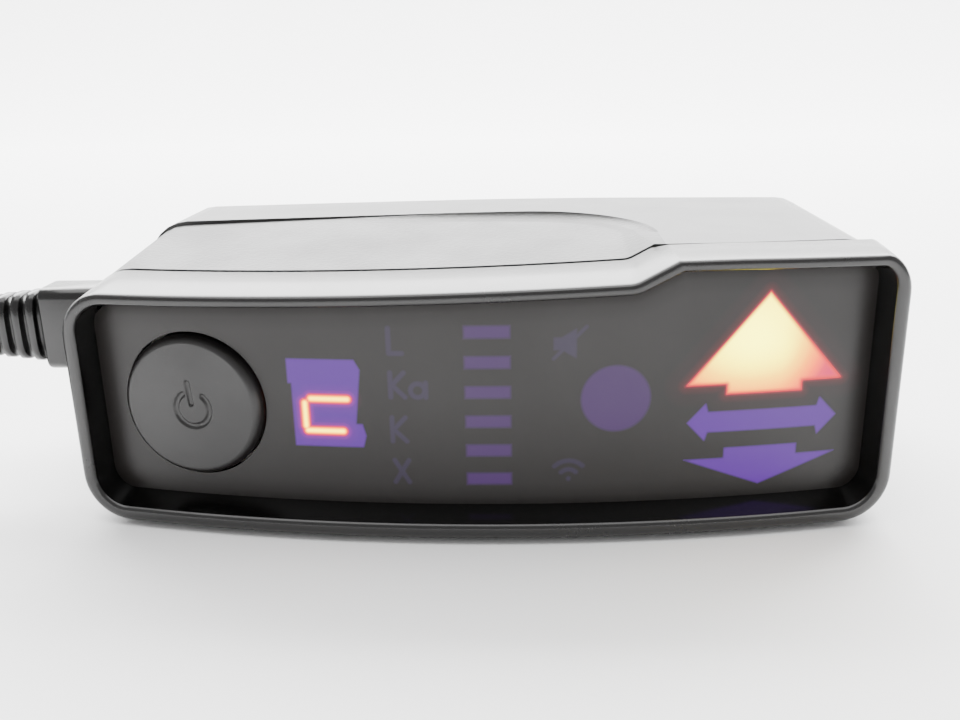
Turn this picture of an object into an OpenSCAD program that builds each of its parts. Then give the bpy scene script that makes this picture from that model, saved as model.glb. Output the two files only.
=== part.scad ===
// Dashboard radar detector with a coiled 12 V vehicle lead.
// The display faces -Y, +Z is up, and the feet stand on z = 0.

/* [Body] */
// Width over the front lip
body_w = 105; // [104:1:130]
// Depth from the middle of the lip to the rear face
body_d = 56; // [52:1:70]
// Height from the surface to the crown of the top
body_h = 36; // [34:0.5:44]
// Thickness of the case walls
wall = 2; // [1.6:0.1:2.4]
// Height of the rubber feet below the case
foot_h = 0.8; // [0.6:0.1:2]
// Height of the parting line between the upper and the lower case
split_z = 9; // [8:0.5:12]

/* [Front] */
// Radius of the front face, seen from above
face_r = 222; // [180:1:400]
// Depth of the smooth front collar
collar_d = 10; // [9:0.1:12]
// Thickness of the lip at its front edge
lip_t = 1.9; // [1.2:0.1:2.5]
// How far the lip narrows toward the lens
lip_taper = 1.1; // [0.5:0.1:1.8]
// Depth of the lens behind the lip
lens_recess = 4; // [2:0.5:5]
// Thickness of the lens
lens_t = 1.6; // [1:0.1:2]

/* [Top] */
// Drop from the crown to the foot of the display ramp
step_drop = 2.9; // [1:0.1:4]
// Drop from the crown to the left end of the top edge
left_drop = 5; // [3:0.1:7]
// Middle of the display ramp
ramp_x = 21.8; // [15:0.1:28]
// Width of the display ramp
ramp_w = 5.6; // [4:0.1:8]
// Rise of the scooped top toward the rear, in degrees
scoop_tilt = 4.9; // [3:0.1:6]
// Distance from the lip to the rear edge of the scoop
scoop_d = 38.5; // [30:0.5:42]

/* [Power button] */
// Diameter of the button cap
button_d = 18.9; // [14:0.1:19.5]
// Place of the button across the face
button_x = -36.4; // [-38:0.1:-34]
// Height of the middle of the button
button_z = 16.5; // [15:0.1:18]
// How far the cap stands out of the lens
button_proud = 1.5; // [0.5:0.1:2]
// Travel of the button
button_travel = 0.5; // [0.3:0.05:0.6]

/* [Power lead] */
// Height of the middle of the power jack
jack_z = 23.6; // [22:0.1:24]
// Distance from the collar's groove to the middle of the power jack
jack_gap = 3.07; // [3:0.01:4]
// Height of the plug block
block_h = 11.6; // [10:0.1:12]
// Thickness of the plug block
block_t = 7; // [6:0.1:8]
// Length of the plug block outside the case
block_l = 8; // [6:0.5:12]
// Diameter of the cord
cord_d = 4; // [3:0.1:5]
// Radius of the lead coil, at the middle of its turns
coil_r = 22; // [20:1:24]

/* [Vehicle plug] */
// Diameter of the handle
handle_d = 22; // [21:0.5:24]
// Diameter of the nose
nose_d = 20.8; // [20:0.1:21]
// Length of the handle
handle_l = 28; // [24:1:34]
// Length of the nose
nose_l = 32; // [30:1:36]
// Travel of the sprung tip
tip_travel = 2; // [1:0.1:3]
// Travel of the side contacts
contact_travel = 0.8; // [0.4:0.1:1]

/* [Hidden] */

$fn = 64;
fit = 0.1;          // gap between pieces that are fixed together
slide_fit = 0.05;   // radial gap of a sliding pin in its bore
button_gap = 0.25;  // gap round the button cap
plug_fit = 0.2;     // gap round the modular plug in its jack
groove = 0.8;       // width of the groove behind the collar

half_w = body_w / 2;
front_y = -body_d / 2;
rear_y = body_d / 2;
face_cy = front_y + face_r;      // middle of the curved front, seen from above
lens_r = face_r - lens_recess;
lens_back_r = lens_r - lens_t;
skin = 0.05;                     // how far the case stands back from the collar
inner = skin + wall;             // inset of the case cavity
scoop_y = front_y + scoop_d;
rear_lean = 0.8;                 // how far the top of the rear face leans forward
case_r = face_r - collar_d - groove;   // radius of the case's curved front edge

// Distance of a curved front surface of radius r along Y, at x
function surface_y(r, x) = face_cy - sqrt(r * r - x * x);

jack_y = surface_y(case_r, half_w) + jack_gap;

// ---- shapes that several pieces share ----

// Points of the arc that rounds corner b between a and c
function round_corner(a, b, c, r, n = 6) =
    let (u = (a - b) / norm(a - b), v = (c - b) / norm(c - b),
         half = acos(u * v) / 2, reach = r / tan(half),
         centre = b + (u + v) / norm(u + v) * r / sin(half),
         from = b + u * reach - centre, to = b + v * reach - centre,
         a0 = atan2(from.y, from.x), d = atan2(to.y, to.x) - a0,
         sweep = d > 180 ? d - 360 : d < -180 ? d + 360 : d)
    [for (i = [0:n]) centre + r * [cos(a0 + sweep * i / n), sin(a0 + sweep * i / n)]];

// A closed outline whose corners are rounded by the radii in r
function rounded(p, r, n = 6) =
    let (m = len(p))
    [for (i = [0:m - 1]) each round_corner(p[(i + m - 1) % m], p[i], p[(i + 1) % m], r[i], n)];

// Angle by which the ramp's corners move sideways as the outline is drawn in
function ramp_lean() = atan(2.5 / ramp_w) / 2;

// The stepped outline of the front, drawn in by t
function front_outline(t, low = foot_h) = rounded(
    [[-half_w + t, low + t], [half_w - t, low + t], [half_w - t, body_h - 0.75 - t],
     [ramp_x + ramp_w / 2 + t * tan(ramp_lean()), body_h - 0.1 - t],
     [ramp_x - ramp_w / 2 + t * tan(ramp_lean()), body_h - step_drop - t],
     [-half_w + t, body_h - left_drop - t]],
    [max(6 - t, 1), max(6 - t, 1), max(5.5 - t, 1), max(3 - t, 0.5), 3 + t, max(6.5 - t, 1)]);

// Outline of the whole body, seen from the front, drawn in by t
function body_outline(t) = rounded(
    [[-half_w + t, foot_h + t], [half_w - t, foot_h + t], [half_w - t, body_h - 0.75 - t],
     [8, body_h - t], [-half_w + t, body_h - 1.1 - t]],
    [max(6 - t, 1), max(6 - t, 1), max(5.5 - t, 1), 800, max(6.5 - t, 1)]);

// Extrudes an outline drawn in X and Z from y0 to y1
module along_y(y0, y1) {
    translate([0, y1, 0]) rotate([90, 0, 0]) linear_extrude(y1 - y0) children();
}

// Extrudes an outline drawn in Y and Z from x0 to x1
module along_x(x0, x1) {
    translate([x0, 0, 0]) rotate([90, 0, 90]) linear_extrude(x1 - x0) children();
}

// Everything behind the curved front surface of radius r
module behind_face(r) {
    translate([0, face_cy, -10]) cylinder(r = r, h = body_h + 40, $fn = 256);
}

// A box from its two opposite corners
module block(a, b) {
    translate(a) cube(b - a);
}

// A cylinder along X that starts at x
module rod_x(x, y, z, d, l) {
    translate([x, y, z]) rotate([0, 90, 0]) cylinder(d = d, h = l);
}

// A cylinder along Y that starts at y
module rod_y(x, y, z, d, l) {
    translate([x, y, z]) rotate([-90, 0, 0]) cylinder(d = d, h = l);
}

// The body as seen from above and from the side, drawn in by t
module plan_and_side(t) {
    side_in = 0.7;
    linear_extrude(body_h + 20) polygon(rounded(
        [[-half_w + t, front_y - 10], [half_w - t, front_y - 10], [half_w - t, front_y + 12],
         [half_w - side_in - t, rear_y - t], [-half_w + side_in + t, rear_y - t], [-half_w + t, front_y + 12]],
        [1, 1, 40, max(9 - t, 1), max(9 - t, 1), 40]));
}

module side_profile(t) {
    along_x(-body_w, body_w) polygon(rounded(
        [[front_y - 10, foot_h + t - 0.001], [rear_y - t, foot_h + t - 0.001], [rear_y - rear_lean - t, body_h - t + 0.001],
         [front_y - 10, body_h - t + 0.001]],
        [1, max(4 - t, 0.8), max(4.5 - t, 0.8), 1]));
}

// The part of the body that keeps its full height: all but the scoop
scoop_r = 18;    // radius of the scoop's rear corner, seen from above
scoop_x = 6;     // where that corner starts
cove_d = 1.05;   // depth of the hollow along the scoop's rear edge
module full_height_zone(t) {
    difference() {
        block([-body_w, front_y - 20, 0], [body_w, rear_y + 20, body_h + 20]);
        block([-body_w - 1, front_y - 21, -1], [scoop_x, scoop_y + t, body_h + 21]);
        block([-body_w - 1, front_y - 21, -1], [scoop_x + scoop_r + t, scoop_y - scoop_r, body_h + 21]);
        translate([scoop_x, scoop_y - scoop_r, -1]) cylinder(r = scoop_r + t, h = body_h + 22, $fn = 128);
    }
}

// The shallow hollow at the foot of the scoop's rear edge
module scoop_cove() {
    profile = concat([[scoop_r - 10, body_h + 2], [scoop_r - 10, body_h - cove_d + 0.7]],
        [for (a = [0:15:90]) [scoop_r - 2.2 + 2.2 * sin(a), body_h - cove_d + (cove_d - 0.1) * (1 - cos(a))]],
        [[scoop_r, body_h + 2]]);
    translate([scoop_x, scoop_y - scoop_r, 0]) {
        intersection() {
            rotate_extrude($fn = 128) polygon(profile);
            cube([30, 30, body_h + 20]);
        }
        along_x(-60, 0.01) polygon(profile);
    }
}

// The outer form of collar and case together, drawn in by t
module form(t) {
    intersection() {
        along_y(front_y - 5, rear_y + 5) polygon(body_outline(t));
        plan_and_side(t);
        side_profile(t);
        union() {
            translate([0, front_y, body_h]) rotate([scoop_tilt, 0, 0]) translate([0, -front_y, -body_h])
                along_y(front_y - 10, rear_y + 20) polygon(front_outline(t, -30));
            full_height_zone(t);
        }
    }
}

// The window through the front, with a step halfway to the lens
module lip_opening() {
    along_y(front_y - 5, front_y + 20) polygon(front_outline(lip_t + lip_taper));
    difference() {
        along_y(front_y - 5, front_y + 20) polygon(front_outline(lip_t));
        behind_face(face_r - lens_recess / 2);
    }
}

// Places a piece on the button's axis: y = 0 is the lens surface, and +y points inward
button_angle = asin(button_x / lens_r);
module at_button() {
    translate([button_x, face_cy - lens_r * cos(button_angle), button_z]) rotate([0, 0, button_angle]) children();
}

// ---- case ----

module front_bezel() {
    color("#2b2928") difference() {
        intersection() {
            form(0);
            behind_face(face_r);
        }
        intersection() {
            form(wall);
            behind_face(lens_r);
        }
        lip_opening();
        behind_face(face_r - collar_d);
    }
}

module display_lens() {
    color("#4e4947") difference() {
        intersection() {
            form(wall + fit);
            behind_face(lens_r - 0.02);
        }
        behind_face(lens_back_r);
        at_button() rod_y(0, -5, 0, button_d + 2 * button_gap, 12);
    }
}

jack_hole_h = block_h - 1.6;
jack_hole_t = block_t - 1.6;
head_z = foot_h + 2;   // where the case screws' heads seat
screw_at = [[-half_w + 7.5, rear_y - 7], [half_w - 7.5, rear_y - 7], [-half_w + 7, 3], [half_w - 7, -3]];
window_x = -22;
window_w = 22;
window_h = 10;
window_z = 22;

module upper_case() {
    color("#3b3938") difference() {
        union() {
            difference() {
                case_walls();
                block([-body_w, -body_d, -5], [body_w, body_d, split_z]);
            }
            for (p = screw_at) intersection() {
                translate([p.x, p.y, split_z]) cylinder(d = 6, h = 40);
                form(skin + 0.5);
            }
        }
        for (p = screw_at) translate([p.x, p.y, split_z - 1]) cylinder(d = 2, h = 12);
        block([-half_w - 1, jack_y - jack_hole_t / 2, jack_z - jack_hole_h / 2],
            [-half_w + 6, jack_y + jack_hole_t / 2, jack_z + jack_hole_h / 2]);
        block([window_x - window_w / 2, rear_y - 6, window_z - window_h / 2],
            [window_x + window_w / 2, rear_y + 5, window_z + window_h / 2]);
        scoop_cove();
    }
}

// Walls of the whole case with its tongue, before it is split
module case_walls() {
    difference() {
        union() {
            intersection() {
                form(skin);
                behind_face(case_r);
            }
            intersection() {
                form(wall + fit);
                behind_face(case_r + 3.8);
            }
        }
        intersection() {
            form(inner);
            behind_face(case_r - 1);
        }
        form(wall + fit + 1);
    }
}

speaker_x = 25.5;
speaker_y = 6;
speaker_d = 22;
plate_x = -20;
plate_y = 4.5;
plate_w = 34;
plate_l = 17;
plate_t = 0.2;
plate_gap = 0.2;

module lower_case() {
    color("#343231") difference() {
        union() {
            intersection() {
                case_walls();
                block([-body_w, -body_d, -5], [body_w, body_d, split_z - 0.05]);
            }
            for (p = screw_at) translate([p.x, p.y, foot_h + 1]) cylinder(d = 7, h = split_z - foot_h - 1.05);
            for (p = post_at) translate([p.x, p.y, foot_h + 1]) cylinder(d = 5, h = board_z - foot_h - 1);
            translate([speaker_x, speaker_y, foot_h + 1]) difference() {
                cylinder(d = speaker_d + 2.4, h = 3);
                translate([0, 0, -1]) cylinder(d = speaker_d + 0.3, h = 6);
            }
        }
        for (p = screw_at) {
            translate([p.x, p.y, -1]) cylinder(d = 2.4, h = 20);
            translate([p.x, p.y, -1]) cylinder(d = 4.6, h = head_z + 1);
        }
        for (p = post_at) translate([p.x, p.y, board_z - 4]) cylinder(d = 1.6, h = 6);
        for (p = foot_at) translate([p.x, p.y, -1]) cylinder(d = 8.2, h = 1 + foot_h + 0.6);
        for (i = [-2:2]) translate([speaker_x - 7 + abs(i), speaker_y + i * 3 - 0.7, -1])
            cube([14 - 2 * abs(i), 1.4, 6]);
        block([plate_x - plate_w / 2 - plate_gap, plate_y - plate_l / 2 - plate_gap, -1],
            [plate_x + plate_w / 2 + plate_gap, plate_y + plate_l / 2 + plate_gap, foot_h + plate_t]);
    }
}

module rear_window() {
    color("#2a0f12") intersection() {
        form(skin);
        block([window_x - window_w / 2 + fit, rear_y - 3, window_z - window_h / 2 + fit],
            [window_x + window_w / 2 - fit, rear_y + 5, window_z + window_h / 2 - fit]);
    }
}

foot_y = surface_y(case_r, half_w - 14) + 5;
foot_at = [[-half_w + 14, foot_y], [half_w - 14, foot_y], [-half_w + 18, rear_y - 8], [half_w - 18, rear_y - 8]];
module feet() {
    color("#1c1c1c") for (p = foot_at) translate([p.x, p.y, 0]) rotate_extrude()
        polygon([[0, 0], [3.6, 0], [4, 0.4], [4, foot_h + 0.5], [0, foot_h + 0.5]]);
}

module screw(head_d, head_h, shank_d, l) {
    difference() {
        union() {
            cylinder(d = head_d, h = head_h);
            cylinder(d = shank_d, h = l);
        }
        for (a = [0, 90]) rotate([0, 0, a]) translate([-head_d * 0.3, -0.25, -1]) cube([head_d * 0.6, 0.5, 1.7]);
    }
}

module case_screws() {
    color("#55585a") for (p = screw_at) translate([p.x, p.y, head_z - 1.27]) screw(4.2, 1.25, 1.98, split_z + 6);
}

module rating_plate() {
    color("#9a9a98") block([plate_x - plate_w / 2, plate_y - plate_l / 2, foot_h + 0.02],
        [plate_x + plate_w / 2, plate_y + plate_l / 2, foot_h + plate_t]);
}

// ---- power button ----

flange_y = 2.1;
stem_end = 6.5;
module power_button() {
    color("#35322f") at_button() rotate([-90, 0, 0]) rotate_extrude() polygon([
        [0, -button_proud], [button_d / 2 - 1.1, -button_proud + 0.15], [button_d / 2 - 0.3, -button_proud + 0.55],
        [button_d / 2, -button_proud + 1.2], [button_d / 2, flange_y], [button_d / 2 + 0.7, flange_y],
        [button_d / 2 + 0.7, flange_y + 1], [2.5, flange_y + 1], [2.5, stem_end], [0, stem_end]]);
}

// Three posts, clear of the power jack, stand on the button's board
module button_guide() {
    color("#d8d4c8") at_button() difference() {
        rotate([-90, 0, 0]) union() {
            translate([0, 0, 3.9]) cylinder(d = button_d + 1.5, h = 1.6);
            for (a = [-45, 45, 135]) rotate([0, 0, a]) translate([button_d / 2 - 1.25, 0, 5.4]) cylinder(d = 2.4, h = 5.5);
        }
        rod_y(0, 3, 0, 5 + 2 * slide_fit, 5);
    }
}

module switch_plunger() {
    color("#8c1f1c") at_button() rod_y(0, stem_end + 0.02, 0, 3.2, 1.7);
}

module switch_body() {
    color("#1d1d1f") at_button() difference() {
        block([-3, 7.45, -3], [3, 10.9, 3]);
        rod_y(0, 7, 0, 3.2 + 2 * slide_fit, 2.2);
    }
}

module button_board() {
    color("#1f6b3a") at_button() block([-6, 10.92, -7], [6, 12.3, 7]);
}

// ---- display ----

board_y = -11.2;
mask_x0 = -25.1;
mask_x1 = 47;
digit_box = [-24.4, -14, 10.4, 24.2];
bar_x = 1.5;
bar_z = 26.7;
bar_step = 3.87;
bar_w = 5.6;
bar_h = 1.6;
letter_x = -10;
letter_z = [25.6, 19.9, 13.9, 8.2];
icon_x = 11.6;
icon_z = [25.4, 8.3];
sensor_x = 17.3;
sensor_z = 17.8;
sensor_d = 8.6;
arrow_x = 35.9;

// An arrow head with its short neck
module arrow_outline(half, neck, base_z, tip_z, neck_z) {
    polygon([[-half, base_z], [-neck, base_z], [-neck, neck_z], [neck, neck_z], [neck, base_z],
        [half, base_z], [0, tip_z]]);
}
module up_arrow() { translate([arrow_x, 0]) arrow_outline(9.9, 4.8, 19.1, 30.8, 17.8); }
module down_arrow() { translate([arrow_x, 0]) arrow_outline(9.8, 4.7, 9.2, 5.4, 10.6); }
module side_arrow() {
    translate([arrow_x, 14.2]) polygon([[-9.6, 0], [-7.3, 2.5], [-7, 1.35], [7, 1.35], [7.3, 2.5], [9.6, 0],
        [7.3, -2.5], [7, -1.35], [-7, -1.35], [-7.3, -2.5]]);
}

// Something drawn in X and Z, from the lens down to the display board
module under_lens(gap, back) {
    intersection() {
        along_y(front_y, back) children();
        behind_face(lens_back_r - gap);
    }
}

module light_mask() {
    color("#e4e2da") difference() {
        under_lens(0.2, board_y - 0.1) polygon([[mask_x0, 4.6], [mask_x1, 4.6], [mask_x1, body_h - 4.3],
            [ramp_x + 5, body_h - 4.3], [ramp_x - 1, body_h - step_drop - 4.3], [mask_x0, body_h - step_drop - 5.2]]);
        along_y(front_y, 0) {
            translate([digit_box[0], digit_box[2]]) square([digit_box[1] - digit_box[0], digit_box[3] - digit_box[2]]);
            translate([bar_x - bar_w / 2 - 0.3, bar_z - 5 * bar_step - 1.3]) square([bar_w + 0.6, 5 * bar_step + 2.6]);
            for (z = letter_z) translate([letter_x - 2, z - 2.3]) square([6.6, 4.6]);
            for (z = icon_z) translate([icon_x - 2.6, z - 2.6]) square([5.2, 5.2]);
            translate([sensor_x, sensor_z]) circle(d = sensor_d + 0.4);
            translate([arrow_x - 10.1, 4.9]) square([20.2, 6.2]);
            translate([arrow_x - 10.1, 11.5]) square([20.2, 5.6]);
            translate([arrow_x - 10.1, 17.5]) square([20.2, body_h - 22.6]);
        }
        for (p = display_screw_at) rod_y(p.x, board_y - 3, p.y, 1.5, 6);
    }
}

display_screw_at = [[-12.5, 6.2], [22.6, 6.5], [22.6, 28.2], [-5.5, 28]];
module display_board() {
    color("#1f6b3a") difference() {
        block([mask_x0, board_y, 4.6], [mask_x1, board_y + 1.6, body_h - step_drop - 5.3]);
        for (p = display_screw_at) rod_y(p.x, board_y - 1, p.y, 1.8, 4);
    }
}

module digit_display() {
    color("#cfcbc0") difference() {
        block([digit_box[0] + 0.2, -19, digit_box[2] + 0.2], [digit_box[1] - 0.2, board_y, digit_box[3] - 0.2]);
        digit_pockets(0.05);
    }
}

// Seven segments of one digit, g larger all round
module digit_pockets(g) {
    bw = 4.8; bh = 4.6; s = 1.15;
    translate([(digit_box[0] + digit_box[1]) / 2, 0, (digit_box[2] + digit_box[3]) / 2]) {
        for (k = [-1:1]) block([-bw / 2 + 0.4 - g, -19.5 - g, k * bh - s / 2 - g], [bw / 2 - 0.4 + g, -18 + g, k * bh + s / 2 + g]);
        for (sx = [-1, 1], sz = [-1, 1])
            block([sx * bw / 2 - s / 2 - g, -19.5 - g, sz * bh / 2 - bh / 2 + 0.75 - g],
                [sx * bw / 2 + s / 2 + g, -18 + g, sz * bh / 2 + bh / 2 - 0.75 + g]);
    }
}

module digit_segments() {
    color("#ff4a3c") intersection() {
        digit_pockets(0);
        block([-60, -18.98, 0], [60, -10, 40]);
    }
}

module level_bars() {
    color("#6a569a") for (i = [0:5]) block([bar_x - bar_w / 2, -17, bar_z - i * bar_step - bar_h / 2],
        [bar_x + bar_w / 2, board_y - 0.02, bar_z - i * bar_step + bar_h / 2]);
}

module led(x, z, w = 1.6, h = 0.9) {
    block([x - w / 2, board_y - 0.7, z - h / 2], [x + w / 2, board_y - 0.02, z + h / 2]);
}

module band_letter_lights() {
    color("#efe9c8") for (z = letter_z) for (k = [0, 3]) led(letter_x - 0.4 + k, z);
}

module icon_lights() {
    color("#efe9c8") for (z = icon_z) led(icon_x, z);
}

module front_arrow_light() {
    color("#ffb070") under_lens(0.5, board_y - 0.02) up_arrow();
}
module side_arrow_light() {
    color("#7a5cb0") under_lens(0.5, board_y - 0.02) side_arrow();
}
module rear_arrow_light() {
    color("#7a5cb0") under_lens(0.5, board_y - 0.02) down_arrow();
}

module light_sensor() {
    color("#5c4b7d") {
        rod_y(sensor_x, board_y - 5, sensor_z, 5, 4.98);
        translate([sensor_x, board_y - 5, sensor_z]) sphere(d = 4.99);
    }
}

module display_screws() {
    color("#8d9092") for (p = display_screw_at) translate([p.x, board_y + 2.7, p.y]) rotate([90, 0, 0])
        screw(2.8, 1.05, 1.48, 4.6);
}

// ---- inside the case ----

board_z = 9.2;
post_at = [[-36, 0], [36, -3], [-36, 21], [36, 21]];

module board_link() {
    color("#222222") block([0, board_y + 1.65, board_z + 1.65], [20, board_y + 7, board_z + 4.6]);
}

module main_board() {
    color("#1f6b3a") difference() {
        block([-41, -6, board_z + 0.02], [40.5, rear_y - inner - 1.2, board_z + 1.6]);
        for (p = post_at) translate([p.x, p.y, 0]) cylinder(d = 2, h = 30);
    }
}

module main_chips() {
    color("#202124") {
        block([-12, 8, board_z + 1.62], [-4.5, 15.5, board_z + 2.9]);
        block([-31, 0, board_z + 1.62], [-23, 5, board_z + 3.2]);
        translate([-16, 1, board_z + 1.62]) cylinder(d = 6.3, h = 7);
        translate([-8.5, 1, board_z + 1.62]) cylinder(d = 5, h = 6);
    }
}

module board_screws() {
    color("#8d9092") for (p = post_at) translate([p.x, p.y, board_z + 2.7]) rotate([180, 0, 0])
        screw(3, 1.05, 1.56, 4.8);
}

horn_x = 15;
horn_y0 = 6;
horn_y1 = rear_y - rear_lean - inner - 0.3;
horn_z = 22;
module horn_antenna() {
    color("#b9bcc0") difference() {
        block([horn_x - 18, horn_y0, horn_z - 10.4], [horn_x + 18, horn_y1, horn_z + 9.8]);
        hull() {
            block([horn_x - 5.5, horn_y0 + 1.5, horn_z - 2.5], [horn_x + 5.5, horn_y0 + 2.5, horn_z + 2.5]);
            block([horn_x - 16.8, horn_y1, horn_z - 9], [horn_x + 16.8, rear_y, horn_z + 8.6]);
        }
    }
}

module mixer_board() {
    color("#c9b458") block([horn_x - 9, horn_y0 - 1.25, horn_z - 8], [horn_x + 9, horn_y0 - 0.02, horn_z + 8]);
}

module mixer_cover() {
    color("#c3c5c8") difference() {
        block([horn_x - 8, horn_y0 - 5, horn_z - 7], [horn_x + 8, horn_y0 - 1.27, horn_z + 7]);
        block([horn_x - 7.5, horn_y0 - 4.5, horn_z - 6.5], [horn_x + 7.5, horn_y0, horn_z + 6.5]);
    }
}

module wireless_module() {
    color("#2f6f8f") {
        block([-30, 6, board_z + 1.62], [-18, 18, board_z + 2.4]);
        block([-29, 9, board_z + 2.4], [-19, 17.5, board_z + 4]);
    }
}

module laser_sensor() {
    color("#26262a") {
        block([window_x - 7, rear_y - 9, board_z + 1.62], [window_x + 7, rear_y - 5.6, window_z + 3]);
        translate([window_x, rear_y - 5.6, window_z - 0.5]) sphere(d = 4.6);
    }
}

speaker_z = foot_h + wall + 0.1 + skin;
module speaker_frame() {
    color("#75787a") translate([speaker_x, speaker_y, speaker_z]) rotate_extrude() difference() {
        polygon([[0, 1.6], [6, 1.6], [8, 0], [speaker_d / 2, 0], [speaker_d / 2, 1], [9, 1.4], [6.5, 4.4], [0, 4.4]]);
        polygon([[0, 0], [8.2, 0], [6, 1.62], [0, 1.62]]);
    }
}

module speaker_cone() {
    color("#17181a") translate([speaker_x, speaker_y, speaker_z]) rotate_extrude()
        polygon([[0, 0.9], [3, 0.9], [5.4, 0.25], [7.6, 0.05], [7.6, 0.25], [5.9, 1.45], [0, 1.45]]);
}

module power_jack() {
    jx = -half_w + inner + 0.1;
    color("#101114") difference() {
        intersection() {
            form(wall + fit + 1.1);
            block([jx, jack_y - 4.6, jack_z - 6.4], [jx + 8.6, jack_y + 4.6, jack_z + 6.4]);
        }
        block([jx - 1, jack_y - jack_hole_t / 2, jack_z - jack_hole_h / 2],
            [jx + 7.4, jack_y + jack_hole_t / 2, jack_z + jack_hole_h / 2]);
    }
}

// ---- power lead ----

block_x = -half_w - 0.1;
boot_x = block_x - block_l;
boot_l = 20;
insert_t = jack_hole_t - 2 * plug_fit;
insert_h = jack_hole_h - 2 * plug_fit;

module modular_insert() {
    color("#c9cdd0") difference() {
        block([block_x + 0.02, jack_y - insert_t / 2, jack_z - insert_h / 2],
            [block_x + 9, jack_y + insert_t / 2, jack_z + insert_h / 2]);
        for (k = [-1.5:1.5]) contact_blade(k, 0.05);
    }
}

module contact_blade(k, g) {
    block([block_x + 5 - g, jack_y - insert_t / 2 - 1, jack_z + k * 1.6 - 0.25 - g],
        [block_x + 8.4 + g, jack_y - insert_t / 2 + 1.2 + g, jack_z + k * 1.6 + 0.25 + g]);
}

module modular_contacts() {
    color("#c9a445") intersection() {
        for (k = [-1.5:1.5]) contact_blade(k, 0);
        block([-100, jack_y - insert_t / 2 - 0.02, 0], [0, jack_y + 10, 60]);
    }
}

module plug_block() {
    c = 1.2;
    color("#2c2a2a") along_x(boot_x, block_x) translate([jack_y, jack_z]) polygon([
        for (s = [[1, 1], [-1, 1], [-1, -1], [1, -1]]) each
            (s.x * s.y > 0 ? [[s.x * block_t / 2, s.y * (block_h / 2 - c)], [s.x * (block_t / 2 - c), s.y * block_h / 2]]
                : [[s.x * (block_t / 2 - c), s.y * block_h / 2], [s.x * block_t / 2, s.y * (block_h / 2 - c)]])]);
}

// One length of the boot, with flat sides and half-round ends
module boot_slice(x, l, h, t) {
    along_x(x - l, x) translate([jack_y, jack_z]) {
        square([t, max(h - t, 0.02)], center = true);
        for (s = [-1, 1]) translate([0, s * (h - t) / 2]) circle(d = t, $fn = 32);
    }
}

rib_pitch = 2.1;
module lead_boot() {
    color("#242323") difference() {
        union() {
            boot_slice(boot_x - 0.01, 1.2, block_h - 1.8, block_t - 1);
            for (i = [0:8]) {
                k = i / 9;
                h = (block_h - 1.6) * (1 - k) + (cord_d + 1.6) * k;
                t = (block_t - 0.8) * (1 - k) + (cord_d + 1.4) * k;
                boot_slice(boot_x - 1 - i * rib_pitch, 0.85, h - 1.2, t - 1.2);
                boot_slice(boot_x - 1.8 - i * rib_pitch, rib_pitch - 0.75, h, t);
            }
        }
        rod_x(boot_x - boot_l - 5, jack_y, jack_z, cord_d + 0.1, 7);
    }
}

// Route of the cord from the boot to the coil, and from the coil to the vehicle plug
coil_x = -130;
coil_w = 3;
coil_layers = 4;
coil_out = coil_r + cord_d;
coil_h = coil_layers * cord_d;
lead_in = [[-79, -7.5, 23.6], [-83, -7.5, 23.6], [-88, -7.5, 23.4], [-93, -7.5, 22.6], [-98, -7.5, 21.2],
    [-103, -7.5, 19.4], [-109, -7.5, 17.4], [-115, -7.5, 15.8], [-121, -7.5, 14.7], [-126, -7.5, 14.2]];
lead_out = [[-104, 12, 2], [-104, 7, 2], [-104, 2, 2], [-104, -3.5, 2.2], [-105.2, -9, 3.1], [-108.5, -13.7, 4.8],
    [-113.5, -17.3, 7.2], [-119.5, -19.1, 9.6], [-125.5, -19.5, 10.9], [-130, -19.5, 11], [-137, -19.5, 11]];
coil_y = lead_in[0].y + coil_out;

// A tube swept along a route, with a ring at each point
module swept(path, d, sides = 8) {
    n = len(path);
    ways = [for (i = [0:n - 1]) let (v = path[min(i + 1, n - 1)] - path[max(i - 1, 0)]) v / norm(v)];
    polyhedron(
        points = [for (i = [0:n - 1]) let (w = ways[i], flat = cross(w, [0, 0, 1]), u = flat / norm(flat), v = cross(u, w))
            each [for (j = [0:sides - 1]) path[i] + d / 2 * (u * cos(360 * j / sides) + v * sin(360 * j / sides))]],
        faces = concat([[for (j = [0:sides - 1]) sides - 1 - j]], [[for (j = [0:sides - 1]) (n - 1) * sides + j]],
            [for (i = [0:n - 2], j = [0:sides - 1]) let (k = (j + 1) % sides)
                each [[i * sides + j, i * sides + k, (i + 1) * sides + k],
                    [i * sides + j, (i + 1) * sides + k, (i + 1) * sides + j]]]));
}

module lead_cord() {
    color("#1f1e1e") {
        swept(lead_in, cord_d);
        swept(lead_out, cord_d);
    }
}

module lead_coil() {
    color("#1f1e1e") translate([coil_x, coil_y, 0]) rotate_extrude()
        translate([coil_r - coil_w * cord_d / 2, 0.02]) square([coil_w * cord_d, coil_h - 0.02]);
}

module coil_tie() {
    g = 0.15;
    bulge = 0.25;   // how far the round coil's inner side stands out beside the straight tie
    half = coil_w * cord_d / 2 + g;
    color("#303030") translate([coil_x, coil_y, 0]) along_y(-3, 3) translate([-coil_r, 0]) difference() {
        translate([-half - 0.8, 0]) square([2 * half + bulge + 1.6, coil_h + g + 0.8]);
        translate([-half, -1]) square([2 * half + bulge, coil_h + g + 1]);
    }
}

// ---- vehicle plug ----

car_y = lead_out[len(lead_out) - 1].y;
car_z = handle_d / 2;
car_boot_l = 16;
car_x = -134 - car_boot_l;           // rear end of the handle
nose_x = car_x - handle_l;
cap_x = nose_x - nose_l;             // where the screw-on cap starts
cap_l = 6;
tip_d = 7.6;
tip_out = 4.5;

// A piece turned about the plug's axis, whose local z points to the nose
module turned(x) {
    translate([x, car_y, car_z]) rotate([0, -90, 0]) rotate_extrude() children();
}

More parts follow.
